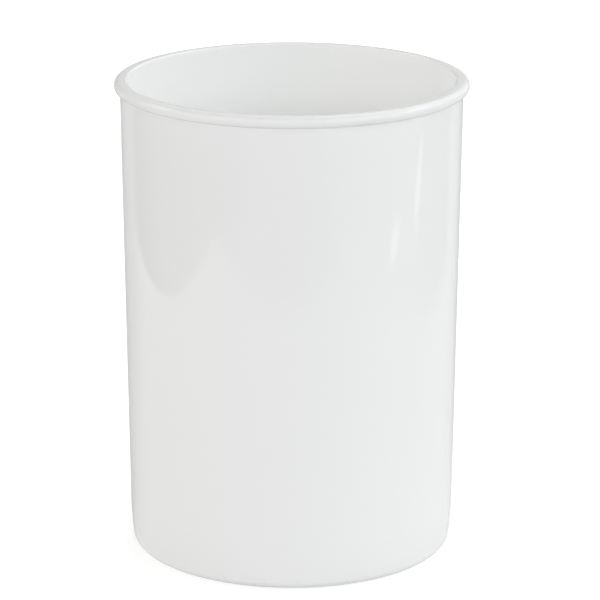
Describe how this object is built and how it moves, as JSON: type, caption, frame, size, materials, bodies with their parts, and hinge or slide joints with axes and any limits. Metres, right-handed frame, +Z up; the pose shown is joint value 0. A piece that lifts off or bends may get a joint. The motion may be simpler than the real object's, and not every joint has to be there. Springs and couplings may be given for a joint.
{
  "type": "wastebasket",
  "caption": "Round, slightly tapered open-topped wastebasket in glossy white moulded plastic, with a rolled bead rim and rubber foot pads set into its base.",
  "frame": {"origin": "centre of the resting plane, on the floor under the basket's axis", "axes": "+Z up along the basket's axis, -Y towards the front; the basket looks the same from every side"},
  "size_m": [0.2, 0.2, 0.273],
  "materials": {
    "shell_plastic": "high gloss",
    "pad_rubber": "matte"
  },
  "bodies": {
    "root": {"basket_shell": "shell_plastic", "foot_pad_front_right": "pad_rubber", "foot_pad_back_right": "pad_rubber", "foot_pad_back_left": "pad_rubber", "foot_pad_front_left": "pad_rubber"}
  },
  "joints": []
}
